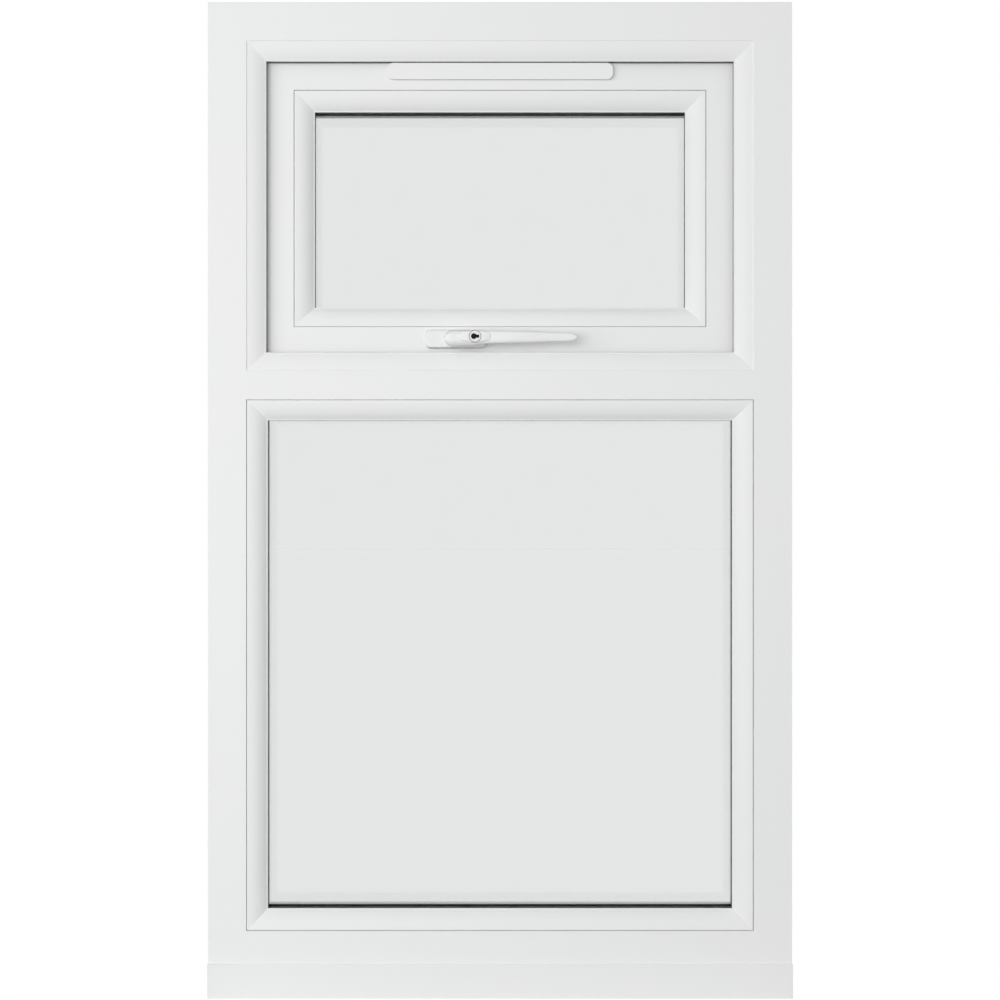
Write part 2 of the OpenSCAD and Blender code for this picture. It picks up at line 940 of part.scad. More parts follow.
module pinion_tooth() {
    root = pinion_r - dedendum;
    steps = 4;
    radii = [for (i = [0:steps]) root + (dedendum + addendum) * i / steps];
    left = [for (r = radii) r * [sin(tooth_half(r)), -cos(tooth_half(r))]];
    right = [for (i = [steps:-1:0]) [-left[i][0], left[i][1]]];
    polygon(concat(left, right, [[0, 0]]));
}

// Toothed sector: only the teeth that meet the rack during a quarter turn
module lock_pinion() {
    color(steel)
        difference() {
            union() {
                translate([handle_x, groove_mid_d + pinion_t / 2 + room_y, spindle_z])
                    rotate([90, 0, 0])
                        linear_extrude(pinion_t)
                            union() {
                                circle(r = hub_r);
                                for (i = [-pinion_ahead:pinion_behind])
                                    rotate(-i * 360 / pinion_teeth)
                                        pinion_tooth();
                            }
                rod_d(handle_x, spindle_z, [box_d[0], box_d[1]], journal_r);
            }
            spindle_socket([box_d[0] - cut, box_d[1] + cut], spindle_w + 2 * pin_clear);
        }
}

module spindle_socket(d, w) {
    box([handle_x - w / 2, d[0], spindle_z - w / 2], [handle_x + w / 2, d[1], spindle_z + w / 2]);
}

// Straight rack teeth with a tooth space under the spindle
module rack_section() {
    pitch_z = spindle_z - pinion_r;
    foot_z = bar_low + bar_t - bite;
    half = tooth_pitch / 4 - backlash / 4;
    rise = tan(pressure);
    first = -floor(rack_behind / tooth_pitch) + 0.5;
    last = floor(rack_ahead / tooth_pitch) - 0.5;
    low_z = pitch_z - addendum - pinion_clear;
    translate([handle_x + (first - 0.5) * tooth_pitch, foot_z])
        square([(last - first + 1) * tooth_pitch, low_z - foot_z]);
    for (k = [first:last])
        translate([handle_x + k * tooth_pitch, pitch_z])
            polygon([
                [-half - rise * (pitch_z - low_z), low_z - pitch_z - bite],
                [half + rise * (pitch_z - low_z), low_z - pitch_z - bite],
                [half - rise * addendum, addendum], [-half + rise * addendum, addendum]
            ]);
}

module lock_drive_bar() {
    rack_t = pinion_t - run_gap;
    color(steel)
        difference() {
            union() {
                box([-bar_half_l, groove_mid_d - bar_w / 2, bar_low],
                    [bar_half_l, groove_mid_d + bar_w / 2, bar_low + bar_t]);
                translate([0, groove_mid_d + rack_t / 2 + room_y, 0])
                    rotate([90, 0, 0])
                        linear_extrude(rack_t)
                            rack_section();
            }
            for (x = [-cam_gap / 2, cam_gap / 2])
                rod_z(x, groove_mid_d, [bar_low - cut, bar_low + bar_t + cut], cam_r / 2);
        }
}

module lock_cams() {
    color(steel)
        for (x = [-cam_gap / 2, cam_gap / 2]) {
            rod_z(x, groove_mid_d, [cam_low + cam_head_h - bite, bar_low], cam_r);
            rod_z(x, groove_mid_d, [bar_low - bite, bar_low + bar_t], cam_r / 2);
            translate([x, groove_mid_d + room_y, cam_low])
                cylinder(h = cam_head_h, r1 = cam_head_r - 1, r2 = cam_head_r);
        }
}

module keep(side) {
    x = side == "left" ? -cam_gap / 2 : cam_gap / 2;
    top = cam_low - keep_gap;
    d = [groove_mid_d - keep_w / 2, groove_mid_d + keep_w / 2];
    color(steel)
        difference() {
            union() {
                box([x - keep_l / 2, d[0], upper[2]], [x + keep_l / 2, d[1], upper[2] + keep_t]);
                box([x - keep_l / 2, d[1] - keep_kerb_t, upper[2]], [x + keep_kerb_end, d[1], top]);
            }
            keep_screw_holes();
        }
}

// Screws: each spot is used for the hole and for the screw in it

module keep_screw_spots() {
    for (x = [-cam_gap / 2, cam_gap / 2])
        for (s = [-1, 1])
            translate([x + s * (keep_l / 2 - keep_end),
                       groove_mid_d + room_y - keep_kerb_t, upper[2] + keep_t])
                rotate([180, 0, 0])
                    children();
}

module track_screw_spots() {
    for (dz = track_screws)
        translate([upper[0] + track_t, track_mid_d + room_y, pivot_f1[1] + dz])
            rotate([0, -90, 0])
                children();
}

module sash_bar_screw_spots() {
    for (dz = sash_bar_screws)
        translate([sash[0] - sash_bar_t, bar_mid_d + room_y, pivot_n[1] + dz])
            rotate([0, 90, 0])
                children();
}

module plate_screw_spots() {
    for (x = [-1, 1])
        translate([x * (plate_l / 2 - plate_end), groove_mid_d + room_y, sash[2]])
            children();
}

module screw_hole() {
    translate([0, 0, -cut])
        cylinder(h = screw_l + 2 * cut, r = screw_r);
}

module screw() {
    cylinder(h = screw_l, r = screw_r);
    translate([0, 0, -head_h])
        cylinder(h = head_h, r1 = head_r - 1, r2 = head_r);
}

module keep_screw_holes() {
    keep_screw_spots()
        screw_hole();
}

module track_screw_holes() {
    track_screw_spots()
        screw_hole();
}

module sash_bar_screw_holes() {
    sash_bar_screw_spots()
        screw_hole();
}

module plate_screw_holes() {
    plate_screw_spots()
        screw_hole();
}

module frame_hardware_screws() {
    color(steel) {
        keep_screw_spots()
            screw();
        for (side = ["left", "right"])
            on_side(side)
                track_screw_spots()
                    screw();
    }
}

module sash_hardware_screws() {
    color(steel) {
        plate_screw_spots()
            screw();
        for (side = ["left", "right"])
            on_side(side)
                sash_bar_screw_spots()
                    screw();
    }
}

// Friction stays, drawn on the left jamb

// Pin through an arm, from its boss to a rivet head: u runs from the rebate floor to the sash
module pivot_pin(p, from, to, rivet) {
    x = upper[0];
    rod_x([x + min(from, to), x + max(from, to)], p[0], p[1], pin_r);
    rod_x([x + min(to, to + rivet[1]), x + max(to, to + rivet[1])], p[0], p[1], rivet[0]);
}

module stay_track(side) {
    x = upper[0];
    color(steel)
        on_side(side)
            difference() {
                union() {
                    box([x, track_mid_d - track_w / 2, pivot_f2[1] - track_end],
                        [x + track_t, track_mid_d + track_w / 2, pivot_f1[1] + track_end]);
                    for (p = [pivot_f1, pivot_f2]) {
                        rod_x([x + track_t - bite, x + arm_u[0] - arm_gap], p[0], p[1], boss_r);
                        pivot_pin(p, track_t, arm_u[1] + arm_gap, [rivet_r, rivet_h]);
                    }
                }
                track_screw_holes();
            }
}

// Flat arm between two pivots with round eyes
module arm(a, b, ra, rb, hole_a, hole_b) {
    lean = atan2(b[0] - a[0], b[1] - a[1]);
    color(steel)
        along_x([upper[0] + arm_u[0], upper[0] + arm_u[1]])
            difference() {
                union() {
                    translate(a)
                        circle(r = ra);
                    translate(b)
                        circle(r = rb);
                    translate(a)
                        rotate(-lean)
                            translate([-arm_w / 2, 0])
                                square([arm_w, norm(b - a)]);
                }
                translate(a)
                    circle(r = hole_a);
                translate(b)
                    circle(r = hole_b);
            }
}

module stay_short_arm(side) {
    hole = pin_r + pin_clear;
    on_side(side)
        arm(pivot_f1, pivot_n, eye_r, eye_r, hole, hole);
}

module stay_long_arm(side) {
    on_side(side)
        arm(pivot_f2, pivot_q, eye_r, open_eye_r, pin_r + pin_clear, pin_r + open_clear);
}

module stay_sash_bar(side) {
    x = upper[0];
    top = pivot_n[1] + sash_bar_over;
    color(steel)
        on_side(side)
            difference() {
                union() {
                    box([sash[0] - sash_bar_t, bar_mid_d - sash_bar_w / 2, top - sash_bar_l],
                        [sash[0], bar_mid_d + sash_bar_w / 2, top]);
                    for (p = [pivot_n, pivot_q])
                        rod_x([x + arm_u[1] + arm_gap, sash[0] - sash_bar_t + bite], p[0], p[1], boss_r);
                    pivot_pin(pivot_n, sash_space - sash_bar_t, arm_u[0] - arm_gap, [rivet_r, -rivet_h]);
                    pivot_pin(pivot_q, sash_space - sash_bar_t, arm_u[0] - arm_gap,
                              [open_rivet_r, -rivet_h]);
                }
                sash_bar_screw_holes();
            }
}

// Handle

// Flat body with round ends and a rounded front edge, drawn upwards from its back
// Section of a block with a rounded front edge, from its middle to one side
module edge_section(half, t, edge) {
    square([half - edge, t]);
    square([half, t - edge]);
    translate([half - edge, t - edge])
        circle(r = edge);
}

// Block on the sash face, round at its four corners and along its front edge
module rounded_block(length, w, t, corner, edge) {
    for (x = [-1, 1], z = [-1, 1])
        translate([x * (length / 2 - corner), z * (w / 2 - corner), 0])
            rotate_extrude()
                edge_section(corner, t, edge);
    translate([corner - length / 2, 0, 0])
        rotate([90, 0, 90])
            linear_extrude(length - 2 * corner)
                for (side = [0, 1])
                    mirror([side, 0])
                        edge_section(w / 2, t, edge);
    translate([0, w / 2 - corner, 0])
        rotate([90, 0, 0])
            linear_extrude(w - 2 * corner)
                for (side = [0, 1])
                    mirror([side, 0])
                        edge_section(length / 2, t, edge);
}

module on_sash_face() {
    translate([handle_x, sash_back + room_y, spindle_z])
        rotate([90, 0, 0])
            children();
}

module neck_bore() {
    rod_d(handle_x, spindle_z, [base_d - cut, sash_back + cut], neck_r + pin_clear);
}

// Plate under the cover, which takes the two screws
module handle_base() {
    side = 2 * (cover_t + pin_clear);
    color(white)
        difference() {
            on_sash_face()
                rounded_block(base_l - side, base_w - side, base_t - cover_t, base_corner - cover_t, cut);
            neck_bore();
            for (x = [-1, 1]) {
                sx = handle_x + x * handle_screw_gap / 2;
                rod_d(sx, spindle_z, [base_d - cut, sash_back + cut], handle_screw_r + pin_clear);
                rod_d(sx, spindle_z, [base_d - cut, sash_back - screw_seat], screw_head_r + pin_clear);
            }
        }
}

// Cover that clips over the plate and hides its screws
module handle_cover() {
    side = 2 * cover_t;
    color(white)
        difference() {
            on_sash_face()
                rounded_block(base_l, base_w, base_t, base_corner, base_edge);
            on_sash_face()
                translate([0, 0, -cut])
                    rounded_block(base_l - side, base_w - side, base_t - cover_t + cut,
                                  base_corner - cover_t, cut);
            neck_bore();
        }
}

module handle_screws() {
    color(steel)
        for (x = [-1, 1]) {
            sx = handle_x + x * handle_screw_gap / 2;
            seat = sash_back - screw_seat;
            rod_d(sx, spindle_z, [seat - bite, box_d[1] - cut], handle_screw_r);
            difference() {
                rod_d(sx, spindle_z, [seat - screw_head_h, seat], screw_head_r);
                box([sx - screw_head_r, seat - screw_head_h - cut, spindle_z - drive_slot / 2],
                    [sx + screw_head_r, seat - screw_head_h + drive_slot, spindle_z + drive_slot / 2]);
            }
        }
}

module handle_spindle() {
    color(steel)
        spindle_socket([spindle_front_d, box_d[1] - cut], spindle_w);
}

// The lever is lofted through oval stations along its length
function ease(t) = let (c = max(0, min(1, t))) c * c * (3 - 2 * c);
function blend(a, b, t) = a + (b - a) * ease(t);
// Distance from the spindle at station i, closer together at both round ends
function lever_x(i) = -hub_end + (hub_end + lever_reach) * (1 - cos(180 * i / lever_stations)) / 2;
// Share of the full section near a round end, which starts at the given place
function round_end(x, end, r) =
    let (g = max(0, min(1, abs(end - x) / r)))
    sqrt(max(end_floor, 1 - (1 - g) * (1 - g)));
function lever_half(x) =
    min(round_end(x, -hub_end, hub_round), round_end(x, lever_reach, tip_round))
    * (x < lever_reach * taper_from
        ? blend(hub_half, blade_half, (x - hub_end) / waist_l)
        : blend(blade_half, tip_half, (x / lever_reach - taper_from) / (1 - taper_from)));
function lever_front(x) =
    blend(hub_front_d, blade_front_d, (x - hub_end) / crest_l)
    + hub_fall * (1 - round_end(x, -hub_end, hub_round))
    + tip_fall * ease((x / lever_reach - taper_from) / (1 - taper_from));
function lever_back(x) =
    blend(base_d - run_gap, blade_back_d, (x - back_from) / back_from)
    - tip_lift * ease((x / lever_reach - taper_from) / (1 - taper_from));
function lever_mid_z(x) = -blend(hub_drop, blade_drop, (x - hub_end) / waist_l);
// Point of a soft-cornered oval at angle a
function squircle(a) =
    [sign(cos(a)) * pow(abs(cos(a)), oval_power), sign(sin(a)) * pow(abs(sin(a)), oval_power)];
function lever_ring(x) =
    let (front = lever_front(x), back = lever_back(x))
    [for (k = [0:lever_sides - 1]) let (c = squircle(360 * k / lever_sides))
        [x, (front + back) / 2 + (back - front) / 2 * c[0], lever_mid_z(x) + lever_half(x) * c[1]]];

module lever_loft() {
    n = lever_sides;
    points = [for (i = [0:lever_stations]) for (p = lever_ring(lever_x(i))) p];
    rings = [for (i = [0:lever_stations - 1]) for (k = [0:n - 1]) let (j = (k + 1) % n)
        for (t = [[k, n + j, j], [k, n + k, n + j]]) [for (v = t) i * n + v]];
    ends = [[for (k = [0:n - 1]) k], [for (k = [n - 1:-1:0]) lever_stations * n + k]];
    translate([handle_x, room_y, spindle_z])
        polyhedron(points, concat(rings, ends));
}

// Pad around the key cylinder, narrower at both round ends
module key_pad() {
    translate([handle_x + key_off, pad_root_d + room_y, spindle_z])
        rotate([90, 0, 0])
            linear_extrude(pad_root_d - pad_d)
                hull() {
                    circle(r = pad_half_h);
                    for (x = [-1, 1])
                        translate([x * (pad_half_l - pad_end_r), 0])
                            circle(r = pad_end_r);
                }
}

module handle_lever() {
    color(white)
        difference() {
            union() {
                lever_loft();
                key_pad();
                rod_d(handle_x, spindle_z, [base_d - run_gap - neck_root, base_d + neck_l], neck_r);
            }
            spindle_socket([spindle_front_d, sash_back], spindle_w);
            rod_d(handle_x + key_off, spindle_z,
                  [blade_front_d - cut, key_front_d + key_l + pin_clear], key_r + pin_clear);
            rod_d(handle_x + key_off, spindle_z,
                  [blade_front_d - cut, key_front_d + key_ring_d], key_r + key_ring_w);
        }
}

// Key cylinder with a keyway: a round hole with a slot to one side
module key_cylinder() {
    x = handle_x + key_off;
    d = [key_front_d - cut, key_front_d + key_l - 3];
    hole_r = 3;
    hole_off = 1.2;
    slot_half = 1.6;
    slot_end = 4.3;
    color(steel)
        difference() {
            rod_d(x, spindle_z, [key_front_d, key_front_d + key_l], key_r);
            rod_d(x - hole_off, spindle_z, d, hole_r);
            box([x - hole_off, d[0], spindle_z - slot_half], [x + slot_end, d[1], spindle_z + slot_half]);
        }
}

// Trickle vent

// Plate with rounded corners, drawn in the plane of the window
module vent_plate(length, h, r, d, z) {
    for (sx = [-1, 1])
        for (sz = [-1, 1])
            rod_d(sx * (length / 2 - r), z + sz * (h / 2 - r), d, r);
    box([-length / 2 + r, d[0], z - h / 2], [length / 2 - r, d[1], z + h / 2]);
    box([-length / 2, d[0], z - h / 2 + r], [length / 2, d[1], z + h / 2 - r]);
}

// Inner frame around the slot, with an open trough that the flap's hinge rod clips into
module vent_frame() {
    rim = 0.5;
    front_d = sash_back - vent_plate_t;
    mid_z = (vent_top + vent_low) / 2;
    color(white)
        difference() {
            vent_plate(vent_l - 2 * rim, vent_h - 2 * rim, vent_r - rim, [front_d, sash_back], mid_z);
            box([-slot_l / 2, front_d - cut, slot_mid_z - slot_h / 2],
                [slot_l / 2, sash_back + cut, slot_mid_z + slot_h / 2]);
            rod_x([-hinge_half - fit, hinge_half + fit], vent_pivot_d, vent_pivot_z, hinge_r + pin_clear);
        }
}

// Cover plate with its hinge rod; the back is bevelled below the rod so that it can tilt
module vent_flap() {
    back_d = vent_front_d + flap_t;
    bevel_z = vent_pivot_z - hinge_bite;
    color(white) {
        difference() {
            vent_plate(vent_l, vent_h, vent_r, [vent_front_d, back_d], (vent_top + vent_low) / 2);
            along_x([-vent_l / 2 - cut, vent_l / 2 + cut])
                polygon([[back_d + cut, bevel_z], [back_d, bevel_z], [back_d - flap_t / 2, vent_low - cut],
                         [back_d + cut, vent_low - cut]]);
        }
        rod_x([-hinge_half, hinge_half], vent_pivot_d, vent_pivot_z, hinge_r);
    }
}

// Hood over the slot on the outside, open underneath
module vent_hood() {
    low = slot_mid_z - hood_h / 2 - hood_drop;
    d = [sash_out_d, sash_out_d + hood_out];
    half = vent_l / 2;
    color(white)
        difference() {
            along_x([-half, half])
                polygon([[d[0], low], [d[1], low], [d[1], low + hood_front_h],
                         [d[0] + hood_top_d, low + hood_h], [d[0], low + hood_h]]);
            along_x([-half + hood_wall, half - hood_wall])
                polygon([[d[0] - cut, low - cut], [d[1] - hood_wall, low - cut],
                         [d[1] - hood_wall, low + hood_front_h - hood_wall / 3],
                         [d[0] + hood_top_d - hood_wall / 2, low + hood_h - hood_wall],
                         [d[0] - cut, low + hood_h - hood_wall]]);
        }
}

sill();
sill_end_caps();
frame_head();
frame_jamb("left");  // frame_jamb_left
frame_jamb("right");  // frame_jamb_right
frame_bottom_rail();
transom();
frame_steels();
bead(lower, "left", 0);  // fixed_bead_left
bead(lower, "right", 0);  // fixed_bead_right
bead(lower, "bottom", 0);  // fixed_bead_bottom
bead(lower, "top", 0);  // fixed_bead_top
pane(lower, pane_in_d);  // fixed_pane_inner
pane(lower, pane_out_d);  // fixed_pane_outer
spacer_bar(lower, 0);  // fixed_spacer_bar
bead_gasket(lower, 0);  // fixed_bead_gasket
outer_gasket(lower, 0);  // fixed_outer_gasket
packers(lower, 0);  // fixed_packers
frame_weather_seal();
keep("left");  // keep_left
keep("right");  // keep_right
stay_track("left");  // stay_track_left
stay_track("right");  // stay_track_right
frame_hardware_screws();
stay_short_arm("left");  // stay_short_arm_left
stay_short_arm("right");  // stay_short_arm_right
stay_long_arm("left");  // stay_long_arm_left
stay_long_arm("right");  // stay_long_arm_right
sash_stile("left");  // sash_stile_left
sash_stile("right");  // sash_stile_right
sash_bottom_rail();
sash_top_rail();
bead(sash_light, "left", sash_back);  // sash_bead_left
bead(sash_light, "right", sash_back);  // sash_bead_right
bead(sash_light, "bottom", sash_back);  // sash_bead_bottom
bead(sash_light, "top", sash_back);  // sash_bead_top
pane(sash_light, sash_back + pane_in_d);  // sash_pane_inner
pane(sash_light, sash_back + pane_out_d);  // sash_pane_outer
spacer_bar(sash_light, sash_back);  // sash_spacer_bar
bead_gasket(sash_light, sash_back);  // sash_bead_gasket
outer_gasket(sash_light, sash_back);  // sash_outer_gasket
packers(sash_light, sash_back);  // sash_packers
sash_weather_seal();
stay_sash_bar("left");  // stay_sash_bar_left
stay_sash_bar("right");  // stay_sash_bar_right
sash_hardware_screws();
lock_face_plate();
lock_gearbox();
lock_pinion();
lock_drive_bar();
lock_cams();
handle_base();
handle_cover();
handle_screws();
handle_spindle();
handle_lever();
key_cylinder();
vent_frame();
vent_flap();
vent_hood();
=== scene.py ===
"""Looks of a white top-hung window over a fixed light, with its frame and sill, seen from the room."""
import json
import math

import bmesh
import bpy
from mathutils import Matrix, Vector


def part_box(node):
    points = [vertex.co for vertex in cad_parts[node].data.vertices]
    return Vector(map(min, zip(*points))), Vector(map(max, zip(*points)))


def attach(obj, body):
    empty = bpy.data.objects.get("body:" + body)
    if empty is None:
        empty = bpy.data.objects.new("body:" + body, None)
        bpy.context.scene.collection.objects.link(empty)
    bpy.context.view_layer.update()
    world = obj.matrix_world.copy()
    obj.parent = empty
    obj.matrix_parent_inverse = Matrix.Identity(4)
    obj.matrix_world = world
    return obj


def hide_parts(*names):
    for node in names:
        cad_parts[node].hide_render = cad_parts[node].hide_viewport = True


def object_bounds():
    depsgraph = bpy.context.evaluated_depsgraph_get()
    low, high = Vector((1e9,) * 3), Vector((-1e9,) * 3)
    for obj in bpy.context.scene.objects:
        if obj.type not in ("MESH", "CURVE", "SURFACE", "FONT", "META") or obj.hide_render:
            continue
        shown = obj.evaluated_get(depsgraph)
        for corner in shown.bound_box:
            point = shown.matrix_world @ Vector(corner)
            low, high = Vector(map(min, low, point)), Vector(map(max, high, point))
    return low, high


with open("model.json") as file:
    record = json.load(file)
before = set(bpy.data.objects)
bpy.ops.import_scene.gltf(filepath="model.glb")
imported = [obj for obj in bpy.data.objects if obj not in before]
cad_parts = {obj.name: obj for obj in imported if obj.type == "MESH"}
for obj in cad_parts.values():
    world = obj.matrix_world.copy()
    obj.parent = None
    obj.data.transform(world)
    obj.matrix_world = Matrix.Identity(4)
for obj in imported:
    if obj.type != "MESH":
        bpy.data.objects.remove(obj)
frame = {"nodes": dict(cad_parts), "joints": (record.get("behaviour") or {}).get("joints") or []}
cad_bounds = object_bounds()
scene = bpy.context.scene
joint = {j["name"]: j for j in frame["joints"]}
MM = 0.001

# Camera, straight on at the middle of the window: metres before the frame, then lens and sensor in mm
EYE_DISTANCE = 1.650
LENS = 56.9
SENSOR = 36.0

# Lights: place, size and power of each soft lamp, in the room and then outside, in metres and watts
LAMPS = {
    "front_light": ((-0.8, -3.1, 0.5), 1.6, 52.0),
    "key_light": ((-2.4, -2.4, 0.5), 2.4, 47.0),
    "fill_light": ((2.5, -2.6, 0.5), 1.6, 9.0),
    "outside_light": ((1.8, 3.0, 3.2), 1.8, 110.0),
    "outside_fill": ((-2.4, 2.6, 0.6), 1.8, 30.0),
}
AMBIENT = 0.38

# Floor: its side in metres, what it gives back to the object, and its glow and shadow for the eye
FLOOR_SIZE = 30.0
FLOOR_PALE = 0.7
FLOOR_GLOW = 0.78
FLOOR_SHADE = 0.6

# Colours, linear
WHITE = (0.853, 0.859, 0.857)
WHITE_WARM = (0.857, 0.860, 0.853)
BLACK = (0.012, 0.012, 0.013)
BLACK_DUSTY = (0.02, 0.02, 0.021)
PACKER = (0.02, 0.02, 0.022)
PACKER_PALE = (0.03, 0.03, 0.033)
GLASS_TINT = (0.877, 0.883, 0.880)
ZINC = (0.60, 0.61, 0.63)
ZINC_DARK = (0.48, 0.49, 0.51)
ALUMINIUM = (0.62, 0.63, 0.64)
# Near-black painted shade inside the spacer bar's breathing holes
PAINTED_HOLE_SHADE = (0.03, 0.03, 0.03)
CHROME = (0.78, 0.78, 0.79)
# Near-black painted shade for the keyway and the gap round the key cylinder; the two tones drift at
# random
PAINTED_SHADE_LOW = (0.004, 0.004, 0.004)
PAINTED_SHADE_HIGH = (0.012, 0.012, 0.012)
DAYLIGHT = (0.98, 0.99, 1.0)

# Pieces by finish
UPRIGHT = ["frame_jamb_left", "frame_jamb_right", "sash_stile_left", "sash_stile_right"]
LEVEL = ["frame_head", "frame_bottom_rail", "transom", "sash_top_rail", "sash_bottom_rail", "sill"]
for glazing in ("fixed", "sash"):
    UPRIGHT += [f"{glazing}_bead_left", f"{glazing}_bead_right"]
    LEVEL += [f"{glazing}_bead_bottom", f"{glazing}_bead_top"]
MOULDED = ["sill_end_caps", "vent_frame", "vent_flap", "vent_hood"]
COATED = ["handle_base", "handle_cover"]
RUBBER = ["frame_weather_seal", "sash_weather_seal", "fixed_bead_gasket", "fixed_outer_gasket",
          "sash_bead_gasket", "sash_outer_gasket"]
PACKERS = ["fixed_packers", "sash_packers"]
PANES = ["fixed_pane_inner", "fixed_pane_outer", "sash_pane_inner", "sash_pane_outer"]
SPACERS = ["fixed_spacer_bar", "sash_spacer_bar"]
PLATED = ["keep_left", "keep_right", "stay_track_left", "stay_track_right", "frame_hardware_screws",
          "stay_short_arm_left", "stay_short_arm_right", "stay_long_arm_left", "stay_long_arm_right",
          "stay_sash_bar_left", "stay_sash_bar_right", "sash_hardware_screws", "lock_face_plate",
          "lock_gearbox", "lock_pinion", "lock_drive_bar", "lock_cams", "handle_screws",
          "handle_spindle", "frame_steels"]


# Shader helpers; the scale of a noise is in waves per metre

NOISE_LOW = 0.3
NOISE_HIGH = 0.7
EDGE_SAMPLES = 6


def shader(name):
    """A new material with its node tree and its Principled shader."""
    material = bpy.data.materials.new(name)
    material.use_nodes = True
    tree = material.node_tree
    return material, tree, tree.nodes["Principled BSDF"]


def add(tree, kind, **values):
    """A node of the given kind, with input sockets or properties set by name."""
    node = tree.nodes.new("ShaderNode" + kind)
    for name, value in values.items():
        socket = node.inputs.get(name.replace("_", " "))
        if socket is not None:
            socket.default_value = value
        else:
            setattr(node, name, value)
    return node


def stretched(tree, scale):
    """Object coordinates, scaled along each axis."""
    coords = add(tree, "TexCoord")
    mapping = add(tree, "Mapping", Scale=scale)
    tree.links.new(coords.outputs["Object"], mapping.inputs["Vector"])
    return mapping.outputs["Vector"]


def noise(tree, scale, detail=2.0):
    """Noise over the piece; scale is one number, or three for a drawn-out pattern."""
    across = scale if isinstance(scale, tuple) else (scale, scale, scale)
    node = add(tree, "TexNoise", Scale=1.0, Detail=detail)
    tree.links.new(stretched(tree, across), node.inputs["Vector"])
    return node.outputs["Fac"]


def spread(tree, fac, low, high):
    """Maps the useful middle of a noise to a range of numbers."""
    node = add(tree, "MapRange", From_Min=NOISE_LOW, From_Max=NOISE_HIGH, To_Min=low, To_Max=high)
    tree.links.new(fac, node.inputs["Value"])
    return node.outputs["Result"]


def tones(tree, fac, a, b):
    """Mixes two colours by a noise."""
    node = add(tree, "Mix", data_type="RGBA")
    colours = [s for s in node.inputs if s.type == "RGBA"]
    colours[0].default_value = (*a, 1)
    colours[1].default_value = (*b, 1)
    tree.links.new(spread(tree, fac, 0.0, 1.0), node.inputs["Factor"])
    return [s for s in node.outputs if s.type == "RGBA"][0]


def colour(tree, bsdf, fac, a, b):
    """Base colour that drifts between two tones."""
    tree.links.new(tones(tree, fac, a, b), bsdf.inputs["Base Color"])


def roughness(tree, bsdf, fac, low, high):
    """Roughness that drifts between two values."""
    tree.links.new(spread(tree, fac, low, high), bsdf.inputs["Roughness"])


def relief(tree, bsdf, heights, edge=None):
    """Bump from (height, depth) pairs, over edges that catch the light as rounded ones do."""
    normal = None
    if edge:
        soft = add(tree, "Bevel", Radius=edge)
        soft.samples = EDGE_SAMPLES
        normal = soft.outputs["Normal"]
    for height, depth in heights:
        bump = add(tree, "Bump", Distance=depth)
        tree.links.new(height, bump.inputs["Height"])
        if normal:
            tree.links.new(normal, bump.inputs["Normal"])
        normal = bump.outputs["Normal"]
    tree.links.new(normal, bsdf.inputs["Normal"])


# Materials

def extruded(name, along):
    """White extruded plastic: faint die lines along the bar, a fine skin and a satin gloss."""
    material, tree, bsdf = shader(name)
    lengthwise, across = 3.0, 900.0
    scale = {"x": (lengthwise, across, across), "z": (across, across, lengthwise)}[along]
    lines = noise(tree, scale, 3.0)
    skin = noise(tree, 1500.0)
    drift = noise(tree, 5.0)
    colour(tree, bsdf, drift, WHITE, WHITE_WARM)
    roughness(tree, bsdf, lines, 0.30, 0.38)
    bsdf.inputs["Specular IOR Level"].default_value = 0.45
    relief(tree, bsdf, [(lines, 0.006 * MM), (skin, 0.010 * MM)])
    return material


def moulded():
    """White moulded plastic with a finely eroded skin."""
    material, tree, bsdf = shader("moulded_plastic")
    drift = noise(tree, 12.0)
    gloss = noise(tree, 60.0)
    skin = noise(tree, 2200.0, 3.0)
    colour(tree, bsdf, drift, WHITE, WHITE_WARM)
    roughness(tree, bsdf, gloss, 0.34, 0.44)
    relief(tree, bsdf, [(skin, 0.02 * MM)], edge=0.5 * MM)
    return material


def coated():
    """White powder coat on metal, satin with a slight orange peel."""
    material, tree, bsdf = shader("powder_coat")
    drift = noise(tree, 20.0)
    gloss = noise(tree, 200.0)
    peel = noise(tree, 700.0, 1.0)
    colour(tree, bsdf, drift, WHITE, WHITE_WARM)
    roughness(tree, bsdf, gloss, 0.42, 0.50)
    bsdf.inputs["Coat Weight"].default_value = 0.05
    bsdf.inputs["Coat Roughness"].default_value = 0.30
    relief(tree, bsdf, [(peel, 0.02 * MM)], edge=0.5 * MM)
    return material


def rubber():
    """Matt black gasket rubber with a dusty sheen."""
    material, tree, bsdf = shader("gasket_rubber")
    dust = noise(tree, 90.0)
    gloss = noise(tree, 300.0)
    skin = noise(tree, 1800.0, 3.0)
    colour(tree, bsdf, dust, BLACK, BLACK_DUSTY)
    roughness(tree, bsdf, gloss, 0.5, 0.68)
    relief(tree, bsdf, [(skin, 0.03 * MM)])
    return material


def packer_plastic():
    """Dark plastic packers with pressed ribs."""
    material, tree, bsdf = shader("packer_plastic")
    ribs = add(tree, "TexWave", Scale=70.0, wave_profile="SIN")
    coords = add(tree, "TexCoord")
    tree.links.new(coords.outputs["Object"], ribs.inputs["Vector"])
    drift = noise(tree, 60.0)
    colour(tree, bsdf, drift, PACKER, PACKER_PALE)
    bsdf.inputs["Roughness"].default_value = 0.5
    relief(tree, bsdf, [(ribs.outputs["Fac"], 0.3 * MM)])
    return material


def pane_glass():
    """Clear float glass with the faint waviness of a drawn ribbon."""
    material, tree, bsdf = shader("float_glass")
    waves = noise(tree, (4.0, 4.0, 1.5), 1.0)
    bsdf.inputs["Base Color"].default_value = (*GLASS_TINT, 1)
    bsdf.inputs["Roughness"].default_value = 0.0
    bsdf.inputs["IOR"].default_value = 1.5
    bsdf.inputs["Transmission Weight"].default_value = 1.0
    relief(tree, bsdf, [(waves, 0.05 * MM)])
    return material


